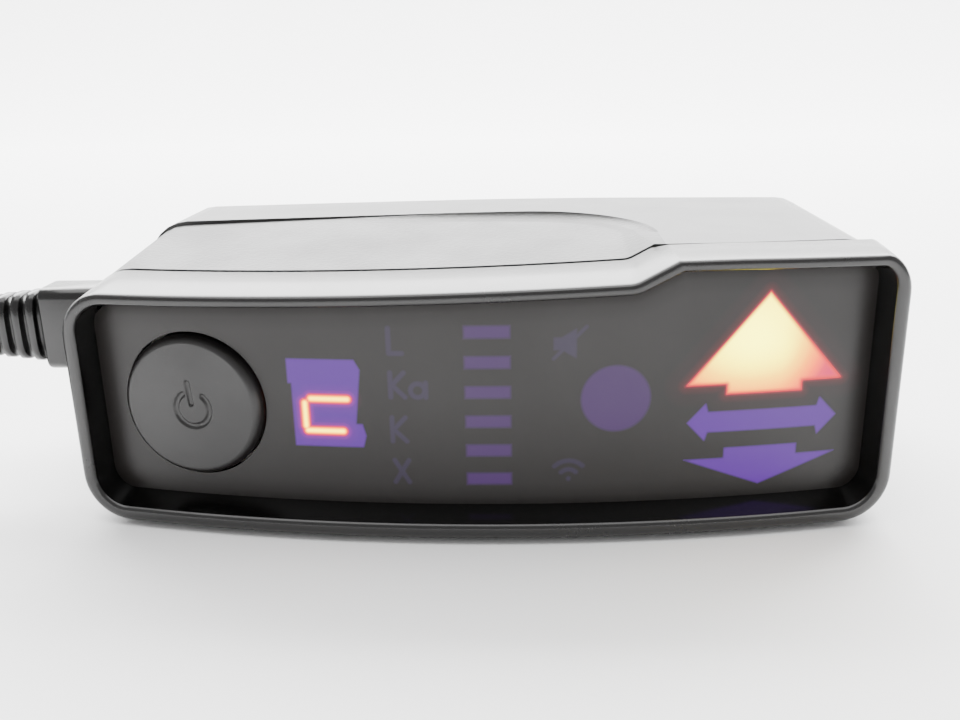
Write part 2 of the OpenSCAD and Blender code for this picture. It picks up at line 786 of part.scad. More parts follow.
module car_plug_shell() {
    color("#262525") difference() {
        turned(car_x) polygon([[0, 0], [7, 0], [9.5, 2], [handle_d / 2, 7], [handle_d / 2, handle_l - 1.5],
            [handle_d / 2 - 1.5, handle_l], [nose_d / 2, handle_l], [nose_d / 2, handle_l + nose_l], [0, handle_l + nose_l]]);
        turned(car_x) polygon([[0, handle_l + 2], [6.2, handle_l + 2], [6.2, handle_l + nose_l + 1], [0, handle_l + nose_l + 1]]);
        for (s = [-1, 1]) block([nose_x - 24.2, car_y + (s > 0 ? 6.8 : -20), car_z - 2.6],
            [nose_x - 5.8, car_y + (s > 0 ? 20 : -6.8), car_z + 2.6]);
        for (k = [0:5], a = [0:30:359]) translate([car_x - 10 - k * 2.6, car_y, car_z]) rotate([a, 0, 0])
            translate([-0.6, 0, handle_d / 2 - 0.4]) cube([1.2, 3.6, 2], center = true);
    }
}

module car_plug_cap() {
    color("#2d2c2c") turned(cap_x - 0.05) polygon([[tip_d / 2 + slide_fit, 0], [nose_d / 2, 0], [nose_d / 2, 2.5],
        [nose_d / 2 - 2.2, cap_l], [tip_d / 2 + slide_fit, cap_l]]);
}

fuse_d = 6.3;
fuse_l = 20;
module car_plug_tip() {
    color("#c6c8ca") turned(cap_x) polygon([[0, -2.2], [5.4, -2.2], [5.4, -0.3], [tip_d / 2, -0.3],
        [tip_d / 2, cap_l + tip_out - 1.6], [tip_d / 2 - 1.4, cap_l + tip_out - 0.3], [0, cap_l + tip_out]]);
}

module car_plug_fuse() {
    color("#cfd6d8") turned(cap_x) polygon([[0, -2.22 - fuse_l], [fuse_d / 2, -2.22 - fuse_l], [fuse_d / 2, -2.22 - fuse_l + 5],
        [fuse_d / 2 - 0.2, -2.22 - fuse_l + 5], [fuse_d / 2 - 0.2, -7.2], [fuse_d / 2, -7.2], [fuse_d / 2, -2.22], [0, -2.22]]);
}

// The spring lies between the bottom of the shell's bore and the fuse
spring_l = nose_l - 2 - 2.22 - fuse_l - 0.1;
module tip_spring() {
    turns = 4; wire = 0.7; steps = 14;
    path = [for (i = [0:turns * steps]) let (a = 360 * i / steps)
        [0.4 + (spring_l - 0.8) * i / (turns * steps), 2.3 * cos(a), 2.3 * sin(a)]];
    color("#b9bcc0") translate([nose_x - 2 - spring_l - 0.05, car_y, car_z]) swept(path, wire, 6);
}

module side_contact(s) {
    color("#c6c8ca") translate([nose_x - 15, car_y, car_z]) rotate([s > 0 ? 0 : 180, 0, 0])
        linear_extrude(4, center = true) polygon(concat(
            [[-8.4, 7.9], [-8.4, 9.2]],
            [for (i = [0:8]) let (a = -40 + i * 10) [12.3 * sin(a) * 0.62, 9.2 + 2.1 * (cos(a) - cos(40)) / (1 - cos(40))]],
            [[8.4, 9.2], [8.4, 7.9]]));
}
module side_contact_front() { side_contact(-1); }
module side_contact_rear() { side_contact(1); }

module car_plug_boot() {
    color("#242323") difference() {
        turned(car_x + car_boot_l) polygon([[0, 0], [2.9, 0],
            for (i = [0:4]) each [[3 + i * 0.55, 1.2 + i * 2.6], [3.3 + i * 0.55, 1.5 + i * 2.6],
                [3.4 + i * 0.55, 2.9 + i * 2.6], [3 + i * 0.55, 3.2 + i * 2.6]],
            [6.6, car_boot_l - 0.8], [6.6, car_boot_l - 0.01], [0, car_boot_l - 0.01]]);
        turned(car_x + car_boot_l) polygon([[0, -1], [cord_d / 2 + 0.05, -1], [cord_d / 2 + 0.05, 4], [0, 4]]);
    }
}

front_bezel();
display_lens();
upper_case();
lower_case();
rear_window();
feet();
case_screws();
rating_plate();
power_button();
button_guide();
switch_plunger();
switch_body();
button_board();
light_mask();
display_board();
digit_display();
digit_segments();
level_bars();
band_letter_lights();
icon_lights();
front_arrow_light();
side_arrow_light();
rear_arrow_light();
light_sensor();
display_screws();
board_link();
main_board();
main_chips();
board_screws();
horn_antenna();
mixer_board();
mixer_cover();
wireless_module();
laser_sensor();
speaker_frame();
speaker_cone();
power_jack();
modular_insert();
modular_contacts();
plug_block();
lead_boot();
lead_cord();
lead_coil();
coil_tie();
car_plug_shell();
car_plug_cap();
car_plug_tip();
car_plug_fuse();
tip_spring();
side_contact_front();
side_contact_rear();
car_plug_boot();
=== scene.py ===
import math

import bpy
import numpy as np
from mathutils import Matrix, Vector


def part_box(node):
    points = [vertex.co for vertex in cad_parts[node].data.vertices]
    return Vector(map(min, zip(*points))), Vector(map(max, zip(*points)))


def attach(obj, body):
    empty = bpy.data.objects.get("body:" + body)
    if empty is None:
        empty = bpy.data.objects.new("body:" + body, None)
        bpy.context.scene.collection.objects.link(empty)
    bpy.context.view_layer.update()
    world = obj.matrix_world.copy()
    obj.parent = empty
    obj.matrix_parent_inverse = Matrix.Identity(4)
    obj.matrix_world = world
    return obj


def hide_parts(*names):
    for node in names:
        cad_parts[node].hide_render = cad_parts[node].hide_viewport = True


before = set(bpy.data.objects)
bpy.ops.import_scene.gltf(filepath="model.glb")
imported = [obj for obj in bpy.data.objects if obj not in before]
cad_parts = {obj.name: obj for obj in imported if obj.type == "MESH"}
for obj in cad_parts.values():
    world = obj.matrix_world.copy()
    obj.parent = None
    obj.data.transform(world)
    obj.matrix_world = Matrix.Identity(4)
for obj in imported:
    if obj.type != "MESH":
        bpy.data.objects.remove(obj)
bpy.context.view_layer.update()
mm = 0.001
print("frame loaded")

# in front of the display and a little above it, as on a dashboard
view = dict(place=(0.0065, -0.1361, 0.0590), pitch=17.7, yaw=3.0, roll=-1.24, lens=36.19, sensor=36.0, clip=0.005)


def addCamera():
    data = bpy.data.cameras.new("camera")
    data.lens, data.sensor_width, data.clip_start = view["lens"], view["sensor"], view["clip"]
    camera = bpy.data.objects.new("camera", data)
    turn = (
        Matrix.Rotation(math.radians(view["yaw"]), 4, "Z")
        @ Matrix.Rotation(math.radians(90 - view["pitch"]), 4, "X")
        @ Matrix.Rotation(math.radians(view["roll"]), 4, "Z")
    )
    camera.matrix_world = Matrix.Translation(view["place"]) @ turn
    bpy.context.collection.objects.link(camera)
    bpy.context.scene.camera = camera


addCamera()
print("camera made")


def linearColour(code):
    channels = [int(code[i : i + 2], 16) / 255 for i in (1, 3, 5)]
    return tuple(c / 12.92 if c <= 0.04045 else ((c + 0.055) / 1.055) ** 2.4 for c in channels) + (1.0,)


def grey(value):
    return (value, value, value, 1.0)


# settings are the node's own, with a ramp's stops as (place, colour); inputs hold values or the outputs they come from
def addNode(tree, kind, settings=None, inputs=None):
    node = tree.nodes.new(kind)
    for key, value in (settings or {}).items():
        if key == "stops":
            marks = node.color_ramp.elements
            while len(marks) < len(value):
                marks.new(0.5)
            for mark, (place, colour) in zip(marks, value):
                mark.position, mark.color = place, colour
        else:
            setattr(node, key, value)
    for key, value in (inputs or {}).items():
        if isinstance(value, bpy.types.NodeSocket):
            tree.links.new(value, node.inputs[key])
        else:
            node.inputs[key].default_value = value
    return node


def newMaterial(name, inputs):
    material = bpy.data.materials.new(name)
    material.use_nodes = True
    tree = material.node_tree
    tree.nodes.clear()
    shader = addNode(tree, "ShaderNodeBsdfPrincipled", None, inputs)
    addNode(tree, "ShaderNodeOutputMaterial", None, {"Surface": shader.outputs[0]})
    return material, tree, shader, addNode(tree, "ShaderNodeTexCoord").outputs["Object"]


# a value that wanders between low and high over patches of the given size in mm
def patchy(tree, where, size, low, high, noise=None):
    cloud = addNode(tree, "ShaderNodeTexNoise", None, {"Vector": where, "Scale": 1 / (size * mm), **(noise or {})})
    stops = [(0.3, grey(low)), (0.7, grey(high))]
    return addNode(tree, "ShaderNodeValToRGB", {"stops": stops}, {"Fac": cloud.outputs["Fac"]}).outputs[0]


# moulded plastic: its gloss wanders by wear, and it has a grain of the given width and depth in mm
def plastic(name, colour, roughness, grain=0.0, depth=0.0, wear=0.06, coat=0.0):
    material, tree, shader, where = newMaterial(name, {
        "Base Color": linearColour(colour), "Roughness": roughness, "IOR": 1.5, "Coat Weight": coat,
        "Coat Roughness": 0.08})
    gloss = patchy(tree, where, 11.1, max(roughness - wear, 0.02), roughness + wear, {"Detail": 5.0, "Roughness": 0.6})
    tree.links.new(gloss, shader.inputs["Roughness"])
    if grain:
        cells = addNode(tree, "ShaderNodeTexVoronoi", {"feature": "SMOOTH_F1"}, {
            "Vector": where, "Scale": 1 / (grain * mm), "Randomness": 1.0, "Smoothness": 0.6})
        fine = addNode(tree, "ShaderNodeTexNoise", None, {"Vector": where, "Scale": 2.2 / (grain * mm), "Detail": 3.0})
        relief = addNode(tree, "ShaderNodeBump", None, {
            "Strength": 0.7, "Distance": depth * mm, "Height": cells.outputs["Distance"]})
        both = addNode(tree, "ShaderNodeBump", None, {
            "Strength": 0.35, "Distance": depth * mm, "Height": fine.outputs["Fac"], "Normal": relief.outputs["Normal"]})
        tree.links.new(both.outputs["Normal"], shader.inputs["Normal"])
    return material


# plated or cast metal; brushed is the strength of its fine marks, drawn at 0.38 mm so that they show
def metal(name, colour, roughness, brushed=0.0):
    material, tree, shader, where = newMaterial(
        name, {"Base Color": linearColour(colour), "Metallic": 1.0, "Roughness": roughness})
    gloss = patchy(tree, where, 1.43, roughness * 0.75, roughness * 1.3, {"Detail": 4.0})
    tree.links.new(gloss, shader.inputs["Roughness"])
    if brushed:
        marks = addNode(tree, "ShaderNodeTexNoise", None, {"Vector": where, "Scale": 1 / (0.385 * mm)})
        relief = addNode(tree, "ShaderNodeBump", None, {
            "Strength": brushed, "Distance": 0.02 * mm, "Height": marks.outputs["Fac"]})
        tree.links.new(relief.outputs["Normal"], shader.inputs["Normal"])
    return material


# diffuser plastic with a lamp behind it
def glowing(name, colour, strength):
    material, tree, shader, where = newMaterial(name, {
        "Base Color": linearColour(colour), "Roughness": 0.35, "Emission Color": linearColour(colour),
        "Emission Strength": strength})
    tree.links.new(patchy(tree, where, 3.33, 0.25, 0.45), shader.inputs["Roughness"])
    return material


caseLook = dict(colour="#1b1a19", scoopRear=10.4, cornerX=6.0, cornerRadius=17.8, scoopAbove=29.0, grain=0.62,
                grainDepth=0.05, fine=0.25, fineDepth=0.02, satin=(0.27, 0.33), dull=(0.4, 0.5))


# moulded ABS: a leather-like grain dulls the sheen in the scoop, and the rest is a fine satin
def caseMaterial():
    material, tree, shader, where = newMaterial(
        "black_grained_plastic", {"Base Color": linearColour(caseLook["colour"]), "IOR": 1.5})
    # distance from the middle of the scoop's rounded corner, which the straight edges carry on
    corner = (caseLook["cornerX"] * mm, (caseLook["scoopRear"] - caseLook["cornerRadius"]) * mm, 0.0)
    past = where
    for operation, value in (("SUBTRACT", corner), ("MULTIPLY", (1, 1, 0)), ("MAXIMUM", (0, 0, 0))):
        past = addNode(tree, "ShaderNodeVectorMath", {"operation": operation}, {0: past, 1: value}).outputs[0]
    out = addNode(tree, "ShaderNodeVectorMath", {"operation": "LENGTH"}, {0: past}).outputs["Value"]
    height = addNode(tree, "ShaderNodeSeparateXYZ", None, {0: where}).outputs[2]
    within = addNode(tree, "ShaderNodeMath", {"operation": "LESS_THAN"}, {0: out, 1: caseLook["cornerRadius"] * mm})
    onTop = addNode(tree, "ShaderNodeMath", {"operation": "GREATER_THAN"}, {0: height, 1: caseLook["scoopAbove"] * mm})
    inScoop = addNode(
        tree, "ShaderNodeMath", {"operation": "MULTIPLY"}, {0: within.outputs[0], 1: onTop.outputs[0]}).outputs[0]
    cells = addNode(tree, "ShaderNodeTexVoronoi", {"feature": "SMOOTH_F1"}, {
        "Vector": where, "Scale": 1 / (caseLook["grain"] * mm), "Smoothness": 0.5})
    fine = addNode(tree, "ShaderNodeTexNoise", None, {
        "Vector": where, "Scale": 1 / (caseLook["fine"] * mm), "Detail": 3.0})
    coarse = addNode(tree, "ShaderNodeBump", None, {
        "Strength": inScoop, "Distance": caseLook["grainDepth"] * mm, "Height": cells.outputs["Distance"]})
    relief = addNode(tree, "ShaderNodeBump", None, {
        "Strength": 0.3, "Distance": caseLook["fineDepth"] * mm, "Height": fine.outputs["Fac"],
        "Normal": coarse.outputs["Normal"]})
    tree.links.new(relief.outputs["Normal"], shader.inputs["Normal"])
    satin, dull = (patchy(tree, where, 11.1, *caseLook[key], {"Detail": 5.0}) for key in ("satin", "dull"))
    gloss = addNode(tree, "ShaderNodeMixRGB", None, {"Fac": inScoop, "Color1": satin, "Color2": dull})
    tree.links.new(gloss.outputs[0], shader.inputs["Roughness"])
    return material


caseGrain = caseMaterial()
collarSatin = plastic("black_satin_plastic", "#151414", 0.26, wear=0.02)  # moulded ABS: a wide soft sheen
lipGloss = plastic("black_polished_plastic", "#070707", 0.12, wear=0.02)  # polished mould: sharp highlights
bootRubber = plastic("black_overmould_rubber", "#080707", 0.24, grain=0.3, depth=0.006, wear=0.03)  # soft PVC: waxy
buttonSatin = plastic("black_button_plastic", "#110f0f", 0.38, grain=0.2, depth=0.006)  # fine eroded mould: matt
cordVinyl = plastic("black_cord_vinyl", "#1d1c1c", 0.4, grain=0.6, depth=0.01)  # extruded PVC: a dull line of light
plugPlastic = plastic("black_plug_plastic", "#222121", 0.35, grain=0.3, depth=0.02)  # moulded nylon: satin
footRubber = plastic("matt_foot_rubber", "#1b1b1b", 0.75, grain=0.3, depth=0.03)  # cast rubber: no highlight
windowRed = plastic("dark_red_window", "#2b0c10", 0.1, wear=0.03, coat=0.5)  # polished acrylic: deep red, mirror-like
whitePlastic = plastic("white_mask_plastic", "#dedcd3", 0.45)  # moulded ABS: even white
boardGreen = plastic("green_solder_mask", "#1d6a3a", 0.35, grain=1.1, depth=0.02, coat=0.3)  # lacquer over weave
boardBlue = plastic("blue_solder_mask", "#25607f", 0.35, coat=0.3)  # lacquer: wet-looking blue
laminate = plastic("bare_microwave_laminate", "#bfa552", 0.5)  # pressed glass resin: dull straw colour
chipBlack = plastic("moulded_chip_resin", "#202124", 0.5, grain=0.2, depth=0.01)  # moulded epoxy: flat dark grey
coneBlack = plastic("black_cone_paper", "#19191a", 0.8, grain=0.4, depth=0.03)  # pressed paper: felt-like
filmSilver = plastic("blank_silver_film", "#a3a3a1", 0.35)  # printed polyester: flat silver grey
clearInsert = plastic("clear_connector_plastic", "#b9bec2", 0.12)  # moulded polycarbonate: pale and shiny
tieBlack = plastic("twist_tie_plastic", "#2a2a2a", 0.45)  # extruded PVC over wire: dull
redNylon = plastic("red_switch_nylon", "#8c1f1c", 0.4)  # moulded nylon: waxy red
displayGrey = plastic("grey_display_face", "#bdb8ac", 0.4)  # moulded polycarbonate: chalky grey
ledYellow = plastic("yellow_chip_phosphor", "#e6dc8c", 0.4)  # silicone with phosphor: soft yellow
violetDiffuser = plastic("violet_diffuser", "#6a559c", 0.35)  # tinted acrylic, unlit: dusky violet
plated = metal("tin_plate", "#c3c5c7", 0.22)  # bright tin over steel: clear reflections
zinc = metal("die_cast_zinc", "#a9abae", 0.45, brushed=0.3)  # as cast: clouded grey
steel = metal("plated_spring_steel", "#b4b6b8", 0.25, brushed=0.2)  # rolled and plated: faint marks
gold = metal("gold_plating", "#d5ac52", 0.2)  # thin gold over nickel: warm and bright
litRed = glowing("lit_red_segment", "#ff4030", 2.0)
litAmber = glowing("lit_amber_diffuser", "#ff9850", 3.0)
fuseGlass = newMaterial("fuse_glass", {  # drawn soda glass: clear with hard highlights
    "Base Color": (0.85, 0.9, 0.9, 1.0), "Roughness": 0.05, "IOR": 1.5, "Transmission Weight": 0.7})[0]
print("materials made")

finishes = {
    "upper_case": caseGrain, "lower_case": caseGrain, "rear_window": windowRed, "feet": footRubber,
    "case_screws": steel, "display_screws": steel, "board_screws": steel, "rating_plate": filmSilver,
    "button_guide": whitePlastic, "light_mask": whitePlastic, "switch_plunger": redNylon,
    "switch_body": chipBlack, "main_chips": chipBlack, "board_link": chipBlack, "laser_sensor": chipBlack,
    "power_jack": chipBlack, "button_board": boardGreen, "display_board": boardGreen, "main_board": boardGreen,
    "digit_display": displayGrey, "digit_segments": litRed, "front_arrow_light": litAmber,
    "level_bars": violetDiffuser, "side_arrow_light": violetDiffuser, "rear_arrow_light": violetDiffuser,
    "light_sensor": violetDiffuser, "band_letter_lights": ledYellow, "icon_lights": ledYellow,
    "horn_antenna": zinc, "mixer_board": laminate, "mixer_cover": plated, "car_plug_tip": plated,
    "tip_spring": steel, "side_contact_front": steel, "side_contact_rear": steel, "wireless_module": boardBlue,
    "speaker_frame": zinc, "speaker_cone": coneBlack, "modular_insert": clearInsert, "modular_contacts": gold,
    "coil_tie": tieBlack, "car_plug_shell": plugPlastic, "car_plug_cap": plugPlastic,
    "car_plug_boot": bootRubber, "car_plug_fuse": fuseGlass,
}
for node, material in finishes.items():
    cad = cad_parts[node]
    cad.data.materials.clear()
    cad.data.materials.append(material)


def addPiece(name, points, faces, material, body="detector"):
    mesh = bpy.data.meshes.new(name)
    mesh.from_pydata([tuple(c * mm for c in p) for p in points], [], faces)
    mesh.materials.append(material)
    mesh.validate()
    mesh.polygons.foreach_set("use_smooth", [True] * len(mesh.polygons))
    piece = bpy.data.objects.new(name, mesh)
    bpy.context.collection.objects.link(piece)
    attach(piece, body)
    return piece


# rings of the same number of points, skinned in order
def skinned(rings, capped=False):
    n = len(rings[0])
    faces = [
        (k * n + i, k * n + (i + 1) % n, (k + 1) * n + (i + 1) % n, (k + 1) * n + i)
        for k in range(len(rings) - 1)
        for i in range(n)
    ]
    if capped:
        faces.append(tuple(reversed(range(n))))
        faces.append(tuple((len(rings) - 1) * n + i for i in range(n)))
    return [p for ring in rings for p in ring], faces


lead = dict(
    diameter=4.0, snug=0.985, exit=(-80.6, -7.5, 23.6),
    coilX=-130.0, coilRadius=22.0, coilWide=3, coilHigh=4, perTurn=24, stepOver=0.3, lastAngle=284,
    down=[(-83, 23.6), (-88, 23.4), (-93, 22.6), (-98, 21.2), (-103, 19.4), (-109, 17.4), (-115, 15.8), (-121, 14.7),
          (-126, 14.2)],
    out=[(-104, 12, 2), (-104, 7, 2), (-104, 2, 2), (-104, -3.5, 2.2), (-105.2, -9, 3.1), (-108.5, -13.7, 4.8),
         (-113.5, -17.3, 7.2), (-119.5, -19.1, 9.6), (-125.5, -19.5, 10.9), (-130, -19.5, 11), (-133.5, -19.5, 11)],
)


# the lead winds clockwise from its top outer turn, layer by layer, to its bottom outer turn
def coilPoints():
    wide, high, d, over = lead["coilWide"], lead["coilHigh"], lead["diameter"], lead["stepOver"]
    inner, outer = lead["coilRadius"] - d * (wide - 1) / 2, lead["coilRadius"] + d * (wide - 1) / 2
    centreY = lead["exit"][1] + lead["coilRadius"] + d
    turns = wide * high - 1 + lead["lastAngle"] / 360
    points = []
    for step in range(round(turns * lead["perTurn"]) + 1):
        turn = step / lead["perTurn"]
        layer = min(int(turn // wide), high - 1)
        within = turn - layer * wide
        # it moves one diameter sideways each turn, and down at the end of a layer, in the last part of the turn
        place = min(int(within) + max(0.0, (within % 1 - 1 + over) / over), wide - 1)
        radius = outer - place * d if layer % 2 == 0 else inner + place * d
        height = (high - layer - 0.5) * d
        if within > wide - over and layer < high - 1:
            height -= d * (within - wide + over) / over
        angle = math.radians(-90 - 360 * turn)
        points.append((lead["coilX"] + radius * math.cos(angle), centreY + radius * math.sin(angle), height))
    return points


def addLead():
    start = lead["exit"]
    route = [start] + [(x, start[1], z) for x, z in lead["down"]] + coilPoints() + lead["out"]
    curve = bpy.data.curves.new("lead", "CURVE")
    curve.dimensions, curve.bevel_resolution, curve.use_fill_caps = "3D", 3, True
    curve.bevel_depth = lead["diameter"] / 2 * mm * lead["snug"]
    spline = curve.splines.new("POLY")
    spline.points.add(len(route) - 1)
    for point, place in zip(spline.points, route):
        point.co = (*(c * mm for c in place), 1.0)
    curve.materials.append(cordVinyl)
    piece = bpy.data.objects.new("lead", curve)
    bpy.context.collection.objects.link(piece)
    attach(piece, "detector")
    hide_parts("lead_cord", "lead_coil")
    length = sum((Vector(a) - Vector(b)).length for a, b in zip(route, route[1:])) * mm
    print("lead length", round(length, 3))
    return piece, length


leadPiece, leadLength = addLead()

boot = dict(ribs=9, pitch=2.1, slot=0.8, deep=1.0, tall=10.0, thick=6.2, endTall=5.6, endThick=5.4, sides=40,
            squareness=0.62, firstRib=0.95, slotWall=0.06, rounding=0.18, ease=0.5, rootTall=8.8, rootThick=5.2,
            neck=4.9, neckStep=0.3, end=4.3, gap=0.02)


# a boot with rounded flat sides, whose ribs stand out between slots
def addBoot():
    low, high = (Vector(c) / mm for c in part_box("plug_block"))
    middle, start = (low + high) / 2, low.x
    last = (Vector(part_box("lead_boot")[0]) / mm).x + boot["gap"]

    def section(x, tall, thick):
        ring = []
        for i in range(boot["sides"]):
            a = 2 * math.pi * i / boot["sides"]
            y, z = (math.copysign(abs(v) ** boot["squareness"], v) for v in (math.cos(a), math.sin(a)))
            ring.append((x, middle.y + thick / 2 * y, middle.z + tall / 2 * z))
        return ring

    rings = [section(start + boot["gap"], boot["rootTall"], boot["rootThick"])]
    # from the bottom of a slot out to a rib's full size, as (step along, less across)
    edge = [(boot["slotWall"], boot["deep"] * 2), (0.0, boot["ease"]), (-boot["rounding"], 0.0)]
    for i in range(boot["ribs"]):
        share = i / boot["ribs"]
        tall = boot["tall"] * (1 - share) + boot["endTall"] * share
        thick = boot["thick"] * (1 - share) + boot["endThick"] * share
        ribStart = start - boot["firstRib"] - i * boot["pitch"]
        ribEnd = ribStart - (boot["pitch"] - boot["slot"])
        rings += [section(ribStart + step, tall - less, thick - less) for step, less in edge]
        rings += [section(ribEnd - step, tall - less, thick - less) for step, less in reversed(edge)]
    rings += [section(last + boot["neckStep"], boot["neck"], boot["neck"]), section(last, boot["end"], boot["end"])]
    piece = addPiece("boot", *skinned(rings, capped=True), bootRubber)
    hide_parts("lead_boot")
    return piece


block = dict(corner=1.5, edge=0.45, steps=5)


# the overmoulded block, with rounded edges all round
def addPlugBlock():
    low, high = (Vector(c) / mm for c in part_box("plug_block"))
    middle, half, corner, edge = (low + high) / 2, (high - low) / 2, block["corner"], block["edge"]

    def section(x, drawnIn):
        ring = []
        for quarter, (sy, sz) in enumerate(((1, 1), (-1, 1), (-1, -1), (1, -1))):
            for i in range(block["steps"] + 1):
                a = math.radians(90 * quarter + 90 * i / block["steps"])
                y = middle.y + sy * (half.y - corner) + (corner - drawnIn) * math.cos(a)
                ring.append((x, y, middle.z + sz * (half.z - corner) + (corner - drawnIn) * math.sin(a)))
        return ring

    rings = [section(low.x, edge + 0.5), section(low.x, edge), section(low.x + 0.15, 0.13), section(low.x + edge, 0.0)]
    rings += [section(high.x - edge, 0.0), section(high.x - 0.1, 0.1), section(high.x, edge),
              section(high.x, edge + 0.5)]
    piece = addPiece("plug_body", *skinned(rings, capped=True), bootRubber)
    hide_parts("plug_block")
    return piece


bootPiece, blockPiece = addBoot(), addPlugBlock()
print("lead made")

# small rounded edges catch the light as moulded ones do; widths in mm
softEdges = {"upper_case": 0.12, "lower_case": 0.2, "car_plug_shell": 0.25, "car_plug_cap": 0.3, "coil_tie": 0.2}
for node, width in softEdges.items():
    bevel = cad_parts[node].modifiers.new("soft_edges", "BEVEL")
    bevel.width, bevel.segments, bevel.harden_normals = width * mm, 2, True
    bevel.limit_method, bevel.angle_limit = "ANGLE", math.radians(35)
print("edges softened")

face = dict(
    radius=222.0, recess=4.0, collar=10.0, lip=1.9, taper=1.1, topShare=0.72, tilt=4.9, high=36.0,
    leftDrop=5.0, stepDrop=2.9, rampDrop=0.1, rightDrop=0.75, rampX=21.8, rampWide=5.6, rampFall=2.5, rampRound=3.0,
    cornerLow=6.0, cornerRight=5.5, cornerLeft=6.5, smallest=0.6, cornerSteps=12, pointGap=4.0,
    crownX=8.0, crownLeft=1.1, crownRight=0.75, crownPower=1.3, risesFrom=20.0, risesOver=6.0,
)
bezelLow, bezelHigh = (Vector(c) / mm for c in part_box("front_bezel"))
halfWide, frontY, bodyLow = bezelHigh.x, bezelLow.y, bezelLow.z
faceCentreY = frontY + face["radius"]
lensRadius = face["radius"] - face["recess"]


# the arc that rounds corner b between a and c
def roundCorner(a, b, c, radius):
    a, b, c = Vector(a), Vector(b), Vector(c)
    u, v = (a - b).normalized(), (c - b).normalized()
    half = u.angle(v) / 2
    centre = b + (u + v).normalized() * radius / math.sin(half)
    start, end = b + u * radius / math.tan(half) - centre, b + v * radius / math.tan(half) - centre
    a0, a1 = math.atan2(start.y, start.x), math.atan2(end.y, end.x)
    sweep = (a1 - a0 + math.pi) % (2 * math.pi) - math.pi
    steps = face["cornerSteps"]
    angles = [a0 + sweep * i / steps for i in range(steps + 1)]
    return [centre + radius * Vector((math.cos(angle), math.sin(angle))) for angle in angles]


# the stepped outline of the front, drawn in by t and less along its top, with long sides divided alike at every t
def frontOutline(t):
    lean = math.tan(math.atan(face["rampFall"] / face["rampWide"]) / 2)

    def corners(s):
        top, shift = face["high"] - s * face["topShare"], s * lean
        return [(-halfWide + s, bodyLow + s), (halfWide - s, bodyLow + s), (halfWide - s, top - face["rightDrop"]),
                (face["rampX"] + face["rampWide"] / 2 + shift, top - face["rampDrop"]),
                (face["rampX"] - face["rampWide"] / 2 + shift, top - face["stepDrop"]),
                (-halfWide + s, top - face["leftDrop"])]

    radii = [face["cornerLow"] - t, face["cornerLow"] - t, face["cornerRight"] - t, face["rampRound"] - t * 0.5,
             face["rampRound"] + t, face["cornerLeft"] - t]
    at, plain = corners(t), corners(0)
    ring = [roundCorner(at[i - 1], at[i], at[(i + 1) % 6], max(radii[i], face["smallest"])) for i in range(6)]
    points = []
    for i in range(6):
        points += ring[i]
        a, b = ring[i][-1], ring[(i + 1) % 6][0]
        count = max(2, round((Vector(plain[i]) - Vector(plain[(i + 1) % 6])).length / face["pointGap"]))
        points += [a.lerp(b, k / count) for k in range(1, count)]
    return points


# height of the body's crowned top at x
def crownAt(x):
    onRight = x > face["crownX"]
    side = halfWide - face["crownX"] if onRight else halfWide + face["crownX"]
    drop = face["crownRight"] if onRight else face["crownLeft"]
    return face["high"] - drop * (abs(x - face["crownX"]) / side) ** face["crownPower"]


# points of the outline drawn in by t, at a depth behind the curved face; the top rises toward the rear
def ringAt(depth, t):
    ring, inward = [], t * face["topShare"]
    for p in frontOutline(t):
        y = faceCentreY - math.sqrt((face["radius"] - depth) ** 2 - p.x * p.x)
        share = min(max((p.y - face["risesFrom"]) / face["risesOver"], 0.0), 1.0)
        rise = (y - frontY) * math.tan(math.radians(face["tilt"])) * share
        ring.append((p.x, y, min(max(min(p.y + rise, crownAt(p.x) - inward), p.y), bezelHigh.z - inward)))
    return ring


# each ring is (depth behind the face, distance drawn in)
def addBezel():
    lip, taper, collar, recess = face["lip"], face["taper"], face["collar"], face["recess"]
    outside = [(collar, 1.2), (collar, 0.25), (collar - 0.08, 0.08), (collar - 0.25, 0.0), (collar * 0.5, 0.0),
               (0.75, 0.0), (0.45, 0.06), (0.2, 0.22), (0.06, 0.45), (0.0, 0.75), (0.0, lip - 0.55), (0.06, lip - 0.3),
               (0.2, lip - 0.1), (0.45, lip + 0.04)]
    inside = [(0.45, lip + 0.04), (0.8, lip + 0.14), (recess * 0.5, lip + taper * 0.5), (recess - 0.02, lip + taper)]
    for name, rings, material in (("bezel_collar", outside, collarSatin), ("bezel_lip_inside", inside, lipGloss)):
        piece = addPiece(name, *skinned([ringAt(*ring) for ring in rings]), material)
        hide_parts("front_bezel")


addBezel()
print("bezel made")

button = dict(
    x=-36.4, z=16.5, radius=9.45, gap=0.25, proud=1.5, turns=180, domeStep=0.12, domeTo=8.4, domeDepth=0.12,
    rim=[(8.5, 0.12), (8.75, 0.2), (8.95, 0.34), (9.15, 0.55), (9.32, 0.85), (9.42, 1.2), (9.45, 1.6), (9.45, 3.6)],
    iconAt=(0.35, -0.2), iconRadius=2.3, iconArc=(122, 410), iconBar=[(0.15, 0.5), (-0.1, 3.3)], iconStroke=0.62,
    iconDepth=0.25, iconEdge=0.16,
)
buttonTurn = math.asin(button["x"] / lensRadius)
buttonY = faceCentreY - lensRadius * math.cos(buttonTurn)


def insidePolygon(x, z, polygon):
    inside = np.zeros(x.shape, bool)
    for (x0, z0), (x1, z1) in zip(polygon, polygon[1:] + polygon[:1]):
        crosses = (z0 > z) != (z1 > z)
        with np.errstate(divide="ignore", invalid="ignore"):
            inside ^= crosses & (x < (x1 - x0) * (z - z0) / (z1 - z0) + x0)
    return inside


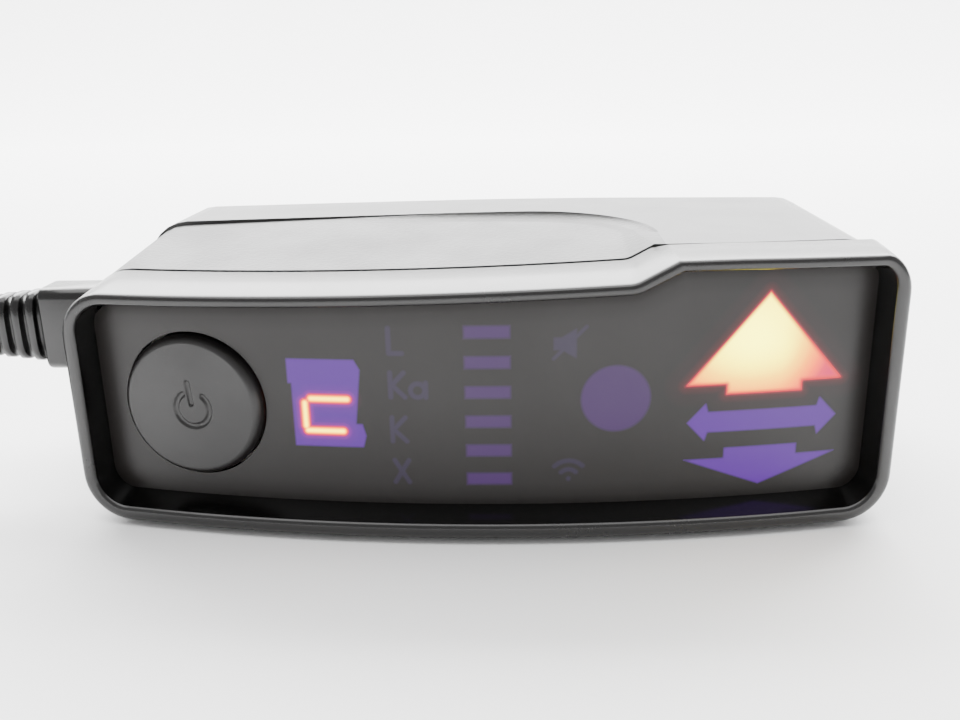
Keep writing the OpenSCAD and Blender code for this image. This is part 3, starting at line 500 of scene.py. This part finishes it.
def toSegment(x, z, a, b):
    ax, az, bx, bz = *a, *b
    length2 = max((bx - ax) ** 2 + (bz - az) ** 2, 1e-9)
    along = np.clip(((x - ax) * (bx - ax) + (z - az) * (bz - az)) / length2, 0, 1)
    return np.hypot(x - ax - along * (bx - ax), z - az - along * (bz - az))


# how far inside a shape each point is, in mm: below 0 outside it
def depthInPolygon(x, z, polygon):
    edge = np.min([toSegment(x, z, a, b) for a, b in zip(polygon, polygon[1:] + polygon[:1])], axis=0)
    return np.where(insidePolygon(x, z, polygon), edge, -edge)


def depthInStroke(x, z, points, width):
    return width / 2 - np.min([toSegment(x, z, a, b) for a, b in zip(points, points[1:])], axis=0)


def arc(centre, radius, first, last, steps=10):
    angles = [math.radians(first + (last - first) * i / steps) for i in range(steps + 1)]
    return [(centre[0] + radius * math.cos(a), centre[1] + radius * math.sin(a)) for a in angles]


def moved(polygon, dx, dz):
    return [(x + dx, z + dz) for x, z in polygon]


display = dict(
    bars=6, barX=1.5, barZ=26.7, barStep=3.87, barWide=5.64, barHigh=1.57, arrowX=35.9, sideZ=14.2,
    discAt=(17.3, 17.85), discRadius=4.3, stroke=0.62, digitStroke=1.15, muteStroke=0.42,
    window=dict(left=-23.25, right=-14.4, low=11.5, high=23.1, cut=0.7, cutDown=1.3, lean=0.8, rightTab=3.1,
                bulge=0.4, leftTab=3.2, leftTabOut=0.45),
    upArrow=[(-9.9, 19.1), (-4.8, 19.1), (-4.8, 17.8), (4.8, 17.8), (4.8, 19.1), (9.9, 19.1), (0, 30.8)],
    downArrow=[(-9.8, 9.2), (-4.7, 9.2), (-4.7, 10.6), (4.7, 10.6), (4.7, 9.2), (9.8, 9.2), (0, 5.4)],
    sideArrow=[(-9.6, 0), (-7.3, 2.5), (-7.0, 1.35), (7.0, 1.35), (7.3, 2.5), (9.6, 0), (7.3, -2.5), (7.0, -1.35),
               (-7.0, -1.35), (-7.3, -2.5)],
    digit=[[(-20.9, 17.9), (-16.2, 17.9)], [(-21.7, 17.3), (-21.7, 14.2)], [(-21.5, 13.6), (-16.9, 13.6)]],
    letters=[  # L, Ka, K and X
        [(-10.6, 27.2), (-10.6, 24.0), (-9.0, 24.0)],
        [(-10.6, 21.5), (-10.6, 18.3)], [(-8.9, 21.5), (-10.4, 19.9), (-8.8, 18.3)],
        arc((-7.2, 19.2), 0.9, 0, 360, 16), [(-6.2, 20.2), (-6.2, 18.3)],
        [(-10.6, 15.6), (-10.6, 12.4)], [(-8.9, 15.6), (-10.4, 14.0), (-8.8, 12.4)],
        [(-10.5, 9.8), (-8.7, 6.8)], [(-8.7, 9.8), (-10.5, 6.8)],
    ],
    signal=[arc((11.5, 7.2), r, 45, 135, 6) for r in (1.3, 2.5)] + [[(11.5, 7.2), (11.5, 7.25)]],
    speaker=[(9.6, 24.3), (10.6, 24.3), (12.4, 23.2), (12.4, 27.0), (10.6, 25.9), (9.6, 25.9)],
    mute=[(9.6, 23.2), (13.6, 27.2)],
    warmAt=(-1.6, 24.8), warmWide=12.0, warmUp=14.0, warmDown=7.8, coolFrom=2.0, coolOver=8.0,
    warmPeak=1.02, warmFall=0.62, warmPower=1.5, coolFall=0.5, coolPower=1.3,
)


# the digit's window: its right side leans in from a cut corner to a tab at the foot, and another tab is at the upper left
def windowOutline():
    w = display["window"]
    left, right, low, high = w["left"], w["right"], w["low"], w["high"]
    shoulder, step, outer = low + w["rightTab"], high - w["leftTab"], left - w["leftTabOut"]
    return [(outer, high), (right - w["cut"], high), (right, high - w["cutDown"]), (right - w["lean"], shoulder),
            (right, shoulder), (right + w["bulge"], (low + shoulder) / 2), (right, low), (left, low), (left, step),
            (outer, step)]


def brightDepth(x, z):
    shapes = [windowOutline(), moved(display["downArrow"], display["arrowX"], 0),
              moved(display["sideArrow"], display["arrowX"], display["sideZ"])]
    return np.max([depthInPolygon(x, z, s) for s in shapes], axis=0)


def dimDepth(x, z):
    depth = display["discRadius"] - np.hypot(x - display["discAt"][0], z - display["discAt"][1])
    for i in range(display["bars"]):
        barZ = display["barZ"] - i * display["barStep"]
        across, up = np.abs(x - display["barX"]) - display["barWide"] / 2, np.abs(z - barZ) - display["barHigh"] / 2
        depth = np.maximum(depth, -np.maximum(across, up))
    return depth


# how brightly the arrow is lit: its lamps stand a little left of the middle, and its right tip gets least
def arrowWarmth(x, z):
    offX, warmZ = display["warmAt"]
    up = (z - warmZ) / np.where(z > warmZ, display["warmUp"], display["warmDown"])
    out = np.hypot((x - display["arrowX"] - offX) / display["warmWide"], up)
    toTip = np.clip((x - display["arrowX"] - display["coolFrom"]) / display["coolOver"], 0, 1)
    fall = display["warmFall"] * out ** display["warmPower"] + display["coolFall"] * toTip ** display["coolPower"]
    return np.clip(display["warmPeak"] - fall, 0, 1)


def labelDepth(x, z):
    strokes = [depthInStroke(x, z, s, display["stroke"]) for s in display["letters"] + display["signal"]]
    mute = depthInStroke(x, z, display["mute"], display["muteStroke"])
    return np.max(strokes + [depthInPolygon(x, z, display["speaker"]), mute], axis=0)


lens = dict(
    grid=0.2, margin=2.0, edge=2.3, shadeEdge=2.9, holeBand=1.5, smoke="#1a1716", label="#271e34", roughness=0.33,
    # the two violets are painted glows, standing in for light on the unlit violet diffusers behind
    gloss=(0.3, 0.38), ior=1.4, violet=(0.125, 0.001, 0.41, 1), paintedDimVioletGlow=(0.05, 0.003, 0.12, 1),
    # yellow-white over its lamps, through orange to pink at the right tip
    arrowGlow=[
        (0.0, (1.5, 0.0, 0.2, 1)), (0.16, (2.0, 0.03, 0.16, 1)), (0.32, (3.4, 0.3, 0.06, 1)), (0.5, (4.2, 1.0, 0.01, 1)),
        (0.68, (5.2, 2.6, 0.0, 1)), (0.85, (7.0, 5.8, 0.02, 1)), (1.0, (8.5, 8.0, 0.3, 1))],
    # the red edge of a lit shape, and its faint halo
    arrowRim=[
        (0.0, (0, 0, 0, 1)), (0.45, (0.012, 0.0, 0.001, 1)), (0.66, (0.07, 0.0, 0.004, 1)), (0.72, (0.3, 0.0, 0.02, 1)),
        (0.745, (1.1, 0.0, 0.035, 1)), (0.79, (2.2, 0.02, 0.03, 1))],
    digitGlow=[
        (0.0, (0, 0, 0, 1)), (0.4, (0.03, 0.0, 0.01, 1)), (0.62, (0.22, 0.0, 0.06, 1)), (0.71, (1.1, 0.0, 0.05, 1)),
        (0.76, (2.6, 0.05, 0.02, 1)), (0.84, (4.5, 1.2, 0.0, 1)), (0.93, (6.5, 4.4, 0.0, 1)), (1.0, (7.0, 5.6, 0.0, 1))],
    # painted shade: how much the lens reflects, least at the lip's edge and full 3 mm inside it
    shade=[(0.0, grey(0.24)), (0.4, grey(0.42)), (1.0, grey(0.5))],
)


# hard-coated smoked acrylic: a soft sheen, with painted shade dulling it near the lip; a painted violet glow where an
# unlit diffuser lies behind it, and lit where one is on
def lensMaterial():
    black = (0, 0, 0, 1)
    material, tree, shader, where = newMaterial("smoked_lens_plastic", {
        "Base Color": linearColour(lens["smoke"]), "Roughness": lens["roughness"], "IOR": lens["ior"],
        "Emission Strength": 1.0})

    # the depth inside a shape that the mesh keeps, from low to high as 0 to 1
    def depthOf(name, low, high):
        kept = addNode(tree, "ShaderNodeAttribute", {"attribute_name": name}).outputs["Fac"]
        return addNode(tree, "ShaderNodeMapRange", None, {"Value": kept, "From Min": low, "From Max": high}).outputs[0]

    def stopsBy(share, stops):
        return addNode(tree, "ShaderNodeValToRGB", {"stops": stops}, {"Fac": share}).outputs[0]

    def between(share, first, second):
        return addNode(tree, "ShaderNodeMixRGB", None, {"Fac": share, "Color1": first, "Color2": second}).outputs[0]

    smoke = between(depthOf("label", -0.15, 0.15), linearColour(lens["smoke"]), linearColour(lens["label"]))
    tree.links.new(smoke, shader.inputs["Base Color"])
    lit = stopsBy(depthOf("warmth", 0.0, 1.0), lens["arrowGlow"])
    rim = stopsBy(depthOf("arrow", -3.0, 1.0), lens["arrowRim"])
    glow = between(depthOf("arrow", 0.05, 0.55), rim, lit)
    digit = stopsBy(depthOf("digit", -1.5, 0.58), lens["digitGlow"])
    # painted light: a violet glow over the unlit diffusers of the bright shapes, kept off around the digit
    violet = between(depthOf("bright", -0.15, 0.15), black, lens["violet"])
    aroundDigit = between(depthOf("digit", -0.25, 0.1), violet, black)
    # painted light: a fainter violet glow over the unlit diffusers of the dim shapes
    dim = between(depthOf("dim", -0.22, 0.22), black, lens["paintedDimVioletGlow"])
    for light in (digit, aroundDigit, dim):
        glow = addNode(tree, "ShaderNodeVectorMath", {"operation": "ADD"}, {0: glow, 1: light}).outputs[0]
    tree.links.new(glow, shader.inputs["Emission Color"])
    # painted shade: near the lip its reflection is turned down, darkening a band along the lip's dark wall
    tree.links.new(stopsBy(depthOf("inset", 0.0, 3.0), lens["shade"]), shader.inputs["Specular IOR Level"])
    tree.links.new(patchy(tree, where, 16.7, *lens["gloss"], {"Detail": 4.0}), shader.inputs["Roughness"])
    return material


# a fine grid that keeps each shape's depth at its points, with the button's hole cut along its own slanted axis
def addLens():
    step = lens["grid"]
    xs = np.arange(-halfWide + lens["margin"], halfWide - lens["margin"] + step / 2, step)
    zs = np.arange(bodyLow + lens["margin"], face["high"] - lens["margin"] + step / 2, step)
    x, z = (g.ravel() for g in np.meshgrid(xs, zs))
    keep = insidePolygon(x, z, [tuple(p) for p in frontOutline(lens["edge"])])
    hole = button["radius"] + button["gap"]
    backY = faceCentreY - np.sqrt(lensRadius**2 - x**2) - buttonY
    acrossHole = (x - button["x"]) * math.cos(buttonTurn) + backY * math.sin(buttonTurn)
    out = np.hypot(acrossHole, z - button["z"])
    # the points just short of the hole's edge move out onto it
    near = (out < hole) & (out > hole - lens["holeBand"] * step)
    scale = np.where(near, hole / np.maximum(out, 1e-6), 1.0)
    x = np.where(near, button["x"] + (x - button["x"]) * scale, x)
    z = np.where(near, button["z"] + (z - button["z"]) * scale, z)
    keep &= (out >= hole) | near
    y = faceCentreY - np.sqrt(lensRadius**2 - x**2)
    across = len(xs)
    number = -np.ones(len(x), int)
    number[keep] = np.arange(keep.sum())
    faces = []
    for row in range(len(zs) - 1):
        for column in range(across - 1):
            a = row * across + column
            quad = (a, a + 1, a + 1 + across, a + across)
            if all(number[q] >= 0 for q in quad) and not all(near[q] for q in quad):
                faces.append(tuple(int(number[q]) for q in quad))
    points = np.stack([x, y, z], 1)[keep]
    piece = addPiece("smoked_lens", points.tolist(), faces, lensMaterial())
    px, pz = points[:, 0], points[:, 2]
    depths = {
        "bright": brightDepth(px, pz), "dim": dimDepth(px, pz), "label": labelDepth(px, pz),
        "warmth": arrowWarmth(px, pz),
        "arrow": depthInPolygon(px, pz, moved(display["upArrow"], display["arrowX"], 0)),
        "digit": np.max([depthInStroke(px, pz, s, display["digitStroke"]) for s in display["digit"]], axis=0),
        # painted shade: depth inside the lip's edge, which turns the lens's reflection down near the lip
        "inset": depthInPolygon(px, pz, [tuple(p) for p in frontOutline(lens["shadeEdge"])]),
    }
    for name, values in depths.items():
        layer = piece.data.attributes.new(name, "FLOAT", "POINT")
        layer.data.foreach_set("value", values.astype(np.float32))
    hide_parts("display_lens")


addLens()
print("lens made")


# a shallow dome with a bevelled rim and an engraved icon
def addButton():
    rings = [(r, button["domeDepth"] * (r / button["rim"][0][0]) ** 2)
             for r in np.arange(button["domeStep"], button["domeTo"], button["domeStep"])] + button["rim"]
    turns = button["turns"]
    points = [(0.0, -button["proud"], 0.0)]
    for radius, depth in rings:
        for i in range(turns):
            a = 2 * math.pi * i / turns
            points.append((radius * math.cos(a), -button["proud"] + depth, radius * math.sin(a)))
    flat = np.array(points)
    ringStroke = arc(button["iconAt"], button["iconRadius"], *button["iconArc"], 40)
    strokes = [depthInStroke(flat[:, 0], flat[:, 2], s, button["iconStroke"]) for s in (ringStroke, button["iconBar"])]
    flat[:, 1] += button["iconDepth"] * np.clip(np.max(strokes, axis=0) / button["iconEdge"] + 0.5, 0, 1)
    faces = [(0, 1 + (i + 1) % turns, 1 + i) for i in range(turns)]
    for k in range(len(rings) - 1):
        for i in range(turns):
            a, b = 1 + k * turns, 1 + (k + 1) * turns
            faces.append((a + i, a + (i + 1) % turns, b + (i + 1) % turns, b + i))
    turn = Matrix.Rotation(buttonTurn, 4, "Z")
    placed = [turn @ Vector(p) + Vector((button["x"], buttonY, button["z"])) for p in flat.tolist()]
    piece = addPiece("button_cap", placed, faces, buttonSatin, body="power_button")
    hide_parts("power_button")


addButton()
print("button made")

stage = dict(
    halfWide=2.5, front=-1.5, rear=0.55, curve=0.35, high=2.2, sky=0.85, paper=(0.92, 0.95), paperMean=0.93,
    lamps=dict(
        back=dict(place=(0.0, 0.78, 0.55), aim=(0, 0, 0.02), size=(2.0, 0.9), power=100.0),
        top=dict(place=(0.0, 0.1, 0.8), aim=(0, 0, 0), size=(1.2, 0.9), power=15.0),
    ),
)


# white paper that curves up behind, with a broad lamp at the back and a weak one above
def addStage():
    bend = [(stage["rear"] + stage["curve"] * math.sin(a), stage["curve"] - stage["curve"] * math.cos(a))
            for a in np.linspace(0.1, math.pi / 2, 14)]
    profile = [(stage["front"], 0.0), (stage["rear"], 0.0)] + bend + [(stage["rear"] + stage["curve"], stage["high"])]
    points = [(x, y, z) for y, z in profile for x in (-stage["halfWide"], stage["halfWide"])]
    faces = [(2 * i, 2 * i + 1, 2 * i + 3, 2 * i + 2) for i in range(len(profile) - 1)]
    mesh = bpy.data.meshes.new("floor")
    mesh.from_pydata(points, [], faces)
    mesh.polygons.foreach_set("use_smooth", [True] * len(mesh.polygons))
    # matt card: no highlight at all
    material, tree, shader, where = newMaterial(
        "white_paper_sweep", {"Base Color": grey(stage["paperMean"]), "Roughness": 0.8})
    tree.links.new(patchy(tree, where, 333.3, *stage["paper"]), shader.inputs["Base Color"])
    mesh.materials.append(material)
    floor = bpy.data.objects.new("floor", mesh)
    bpy.context.collection.objects.link(floor)
    for name, lamp in stage["lamps"].items():
        data = bpy.data.lights.new(name, "AREA")
        data.shape, data.size, data.size_y, data.energy = "RECTANGLE", *lamp["size"], lamp["power"]
        light = bpy.data.objects.new(name, data)
        light.location = lamp["place"]
        light.rotation_euler = (Vector(lamp["aim"]) - Vector(lamp["place"])).to_track_quat("-Z", "Y").to_euler()
        bpy.context.collection.objects.link(light)
    world = bpy.data.worlds.new("studio")
    world.use_nodes = True
    world.node_tree.nodes["Background"].inputs["Color"].default_value = grey(1.0)
    world.node_tree.nodes["Background"].inputs["Strength"].default_value = stage["sky"]
    bpy.context.scene.world = world


addStage()
print("stage made")
